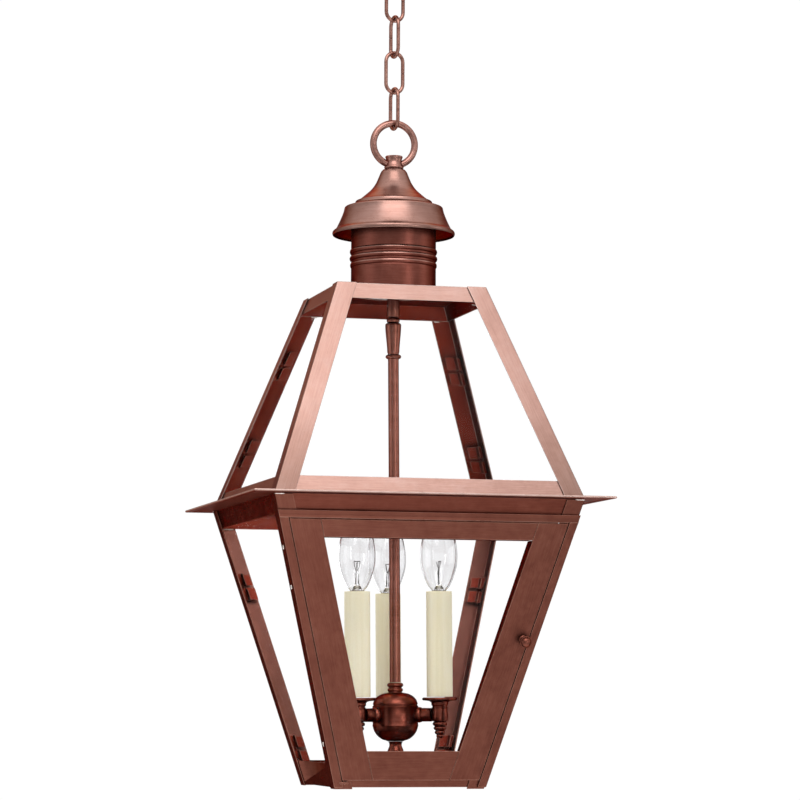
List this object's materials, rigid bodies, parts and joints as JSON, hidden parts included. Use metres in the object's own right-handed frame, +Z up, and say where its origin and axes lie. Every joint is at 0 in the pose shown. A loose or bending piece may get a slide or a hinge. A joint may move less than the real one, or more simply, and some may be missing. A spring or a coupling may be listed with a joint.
{
  "type": "hanging lantern",
  "caption": "Hanging lantern with tapered copper frame, glazed roof and sides, vented chimney cap, hinged front door and a candle cluster on a swivelling stem, on a short chain.",
  "frame": {"origin": "centre of the canopy on the ceiling plane; the lantern hangs below it", "axes": "+Z up, through the ceiling; -Y towards the door; +X to the right of someone facing the door"},
  "size_m": [0.3316, 0.3316, 0.8528],
  "materials": {
    "body_copper": "antique copper, satin, fine brushed",
    "roof_copper": "antique copper, lighter, fine brushed",
    "pane_glass": "clear",
    "bulb_glass": "clear",
    "candle_sleeve": "cream, satin",
    "socket": "phenolic socket body",
    "strap_steel": "plated"
  },
  "bodies": {
    "ceiling_canopy": {"canopy": "body_copper", "mounting_strap": "strap_steel", "canopy_loop": "body_copper", "canopy_collar": "body_copper"},
    "link_1": {"chain_link_1": "body_copper"},
    "link_2": {"chain_link_2": "body_copper"},
    "link_3": {"chain_link_3": "body_copper"},
    "link_4": {"chain_link_4": "body_copper"},
    "link_5": {"chain_link_5": "body_copper"},
    "lantern_frame": {"hanging_loop": "body_copper", "vent_cap": "roof_copper", "chimney": "body_copper", "roof_top": "roof_copper", "roof_hip_front_left": "roof_copper", "roof_hip_front_right": "roof_copper", "roof_hip_back_right": "roof_copper", "roof_hip_back_left": "roof_copper", "roof_sill": "roof_copper", "roof_glass_front": "pane_glass", "roof_glass_right": "pane_glass", "roof_glass_back": "pane_glass", "roof_glass_left": "pane_glass", "eave_flange": "roof_copper", "corner_post_front_left": "body_copper", "corner_post_front_right": "body_copper", "corner_post_back_right": "body_copper", "corner_post_back_left": "body_copper", "door_jamb": "body_copper", "eave_band": "body_copper", "bottom_frame": "body_copper", "bottom_plate": "body_copper", "side_glass_right": "pane_glass", "side_glass_back": "pane_glass", "side_glass_left": "pane_glass", "stem_nipple": "body_copper"},
    "door": {"door_stile_left": "body_copper", "door_stile_right": "body_copper", "door_rail_top": "body_copper", "door_rail_bottom": "body_copper", "door_glass": "pane_glass"},
    "latch": {"latch_knob": "body_copper", "latch_cam": "body_copper"},
    "swivel": {"swivel_collar": "body_copper"},
    "light_cluster": {"stem_tube": "body_copper", "cluster_body": "body_copper", "cluster_finial": "body_copper", "candle_cup_1": "body_copper", "candle_socket_1": "socket", "candle_sleeve_1": "candle_sleeve", "bulb_1": "bulb_glass", "candle_cup_2": "body_copper", "candle_socket_2": "socket", "candle_sleeve_2": "candle_sleeve", "bulb_2": "bulb_glass", "candle_cup_3": "body_copper", "candle_socket_3": "socket", "candle_sleeve_3": "candle_sleeve", "bulb_3": "bulb_glass"}
  },
  "joints": [
    {"name": "link_1_swing", "type": "hinge", "parent": "ceiling_canopy", "child": "link_1", "pos_m": [0, 0, -0.0625], "axis": [0.986, 0.1668, 0], "range_deg": [-20, 20]},
    {"name": "link_2_swing", "type": "hinge", "parent": "link_1", "child": "link_2", "pos_m": [0, 0, -0.0966], "axis": [-0.1668, 0.986, 0], "range_deg": [-20, 20]},
    {"name": "link_3_swing", "type": "hinge", "parent": "link_2", "child": "link_3", "pos_m": [0, 0, -0.1312], "axis": [0.986, 0.1668, 0], "range_deg": [-20, 20]},
    {"name": "link_4_swing", "type": "hinge", "parent": "link_3", "child": "link_4", "pos_m": [0, 0, -0.1658], "axis": [-0.1668, 0.986, 0], "range_deg": [-20, 20]},
    {"name": "link_5_swing", "type": "hinge", "parent": "link_4", "child": "link_5", "pos_m": [0, 0, -0.2004], "axis": [0.986, 0.1668, 0], "range_deg": [-20, 20]},
    {"name": "lantern_swing", "type": "hinge", "parent": "link_5", "child": "lantern_frame", "pos_m": [0, 0, -0.235], "axis": [-0.1668, 0.986, 0], "range_deg": [-20, 20]},
    {"name": "door_hinge", "type": "hinge", "parent": "lantern_frame", "child": "door", "pos_m": [-0.09634, -0.10714, -0.72535], "axis": [0.2604, 0.2604, -0.9297], "range_deg": [0, 110]},
    {"name": "latch_turn", "type": "hinge", "parent": "door", "child": "latch", "pos_m": [0.09481, -0.10781, -0.71725], "axis": [0, -0.9629, -0.2698], "range_deg": [0, 90]},
    {"name": "stem_swing_side", "type": "hinge", "parent": "lantern_frame", "child": "swivel", "pos_m": [0, 0, -0.41785], "axis": [0, 1, 0], "range_deg": [-3.5, 3.5]},
    {"name": "stem_swing_fore", "type": "hinge", "parent": "swivel", "child": "light_cluster", "pos_m": [0, 0, -0.41785], "axis": [1, 0, 0], "range_deg": [-3.5, 3.5]}
  ]
}
